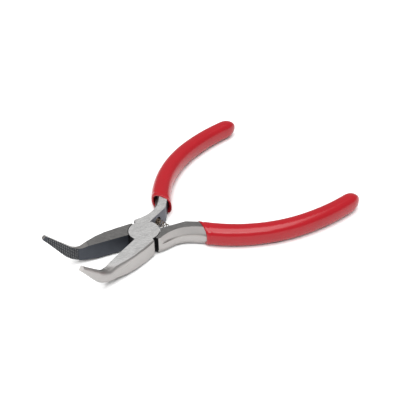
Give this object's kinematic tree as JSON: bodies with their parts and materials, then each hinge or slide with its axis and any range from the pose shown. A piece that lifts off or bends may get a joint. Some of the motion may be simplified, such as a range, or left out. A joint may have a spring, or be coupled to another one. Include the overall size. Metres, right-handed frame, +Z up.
{
  "type": "bent nose pliers",
  "caption": "Small pliers with two lap-jointed levers, bent tapering toothed jaws, a return spring between the tangs and dipped curved handle sleeves.",
  "frame": {"origin": "pivot axis at the underside of the head", "axes": "+Z up along the pivot axis, -X towards the jaws, +X towards the handles, +Y towards the upper lever's handle"},
  "size_m": [0.1161, 0.0802, 0.0171],
  "materials": {
    "steel_upper": "forged steel, head ground flat, satin sides",
    "steel_lower": "forged steel, head ground flat, dark oxide on the gripping face",
    "steel_rivet": "ground flush with the head",
    "spring_wire": "oil-tempered spring wire",
    "red_vinyl": "glossy dipped vinyl"
  },
  "bodies": {
    "lower": {"lower_lever": "steel_lower", "lower_grip": "red_vinyl", "pivot_rivet": "steel_rivet", "return_spring": "spring_wire"},
    "upper": {"upper_lever": "steel_upper", "upper_grip": "red_vinyl"}
  },
  "joints": [
    {"name": "pivot", "type": "hinge", "parent": "lower", "child": "upper", "pos_m": [0, 0, 0.0034], "axis": [0, 0, 1], "range_deg": [-33.7, 11], "stiffness_Nm_per_rad": 0.8, "deforming": ["return_spring"]}
  ]
}
